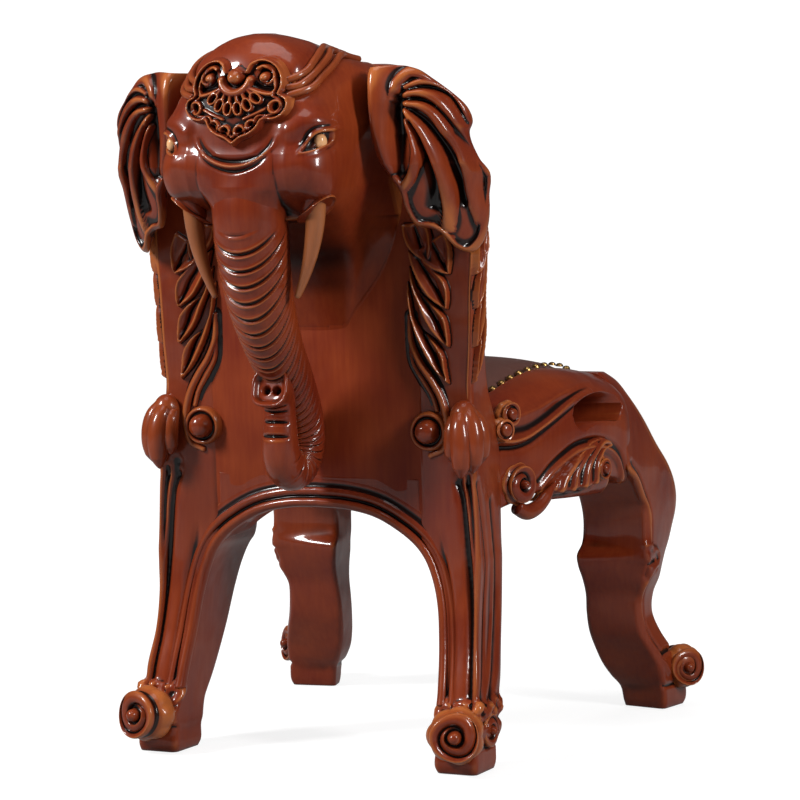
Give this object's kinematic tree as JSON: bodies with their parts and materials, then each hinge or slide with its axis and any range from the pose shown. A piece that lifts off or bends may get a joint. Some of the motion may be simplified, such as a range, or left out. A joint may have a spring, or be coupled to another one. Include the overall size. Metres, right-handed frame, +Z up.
{
  "type": "shoe changing stool",
  "caption": "Low carved wooden stool with a padded leather seat and a back carved as an elephant's head with curled trunk, on scrolled legs, for sitting to change shoes.",
  "frame": {"origin": "on the floor, under the middle of the stool's bounding box", "axes": "+Z up, -Y the way the sitter faces, +Y the way the carved elephant faces, +X the sitter's left"},
  "size_m": [0.45, 0.6441, 0.65],
  "materials": {
    "mahogany": "gloss lacquer over a dark glaze",
    "tusk_wood": "gloss lacquer, rubbed lighter",
    "eye_bead": "polished",
    "leather": "semi-gloss grain",
    "foam": "matte",
    "plywood": "matte",
    "beech": "matte",
    "brass": "polished",
    "steel": "zinc plated",
    "glide": "matte"
  },
  "bodies": {
    "root": {"arch_rail": "mahogany", "back_board": "plywood", "back_foam": "foam", "back_leather": "leather", "back_panel": "mahogany", "corner_block_front_left": "beech", "corner_block_front_right": "beech", "corner_block_rear_left": "beech", "corner_block_rear_right": "beech", "corner_drop_left": "mahogany", "corner_drop_right": "mahogany", "crest_rail": "mahogany", "ear_left": "mahogany", "ear_right": "mahogany", "elephant_head": "mahogany", "eye_left": "eye_bead", "eye_right": "eye_bead", "foot_glides": "glide", "forehead_plaque": "mahogany", "frame_dowels": "beech", "front_leg_left": "mahogany", "front_leg_right": "mahogany", "front_rail": "mahogany", "head_bolts": "steel", "knob_left": "mahogany", "knob_right": "mahogany", "post_leaf_left": "mahogany", "post_leaf_right": "mahogany", "rail_scroll_left": "mahogany", "rail_scroll_right": "mahogany", "rail_volute_left": "mahogany", "rail_volute_right": "mahogany", "rear_post_left": "mahogany", "rear_post_right": "mahogany", "rear_seat_rail": "mahogany", "seat_board": "plywood", "seat_foam": "foam", "seat_leather": "leather", "seat_nails": "brass", "seat_screws": "steel", "side_leaf_left": "mahogany", "side_leaf_right": "mahogany", "side_rail_left": "mahogany", "side_rail_right": "mahogany", "trunk": "mahogany", "tusk_left": "tusk_wood", "tusk_right": "tusk_wood"}
  },
  "joints": []
}
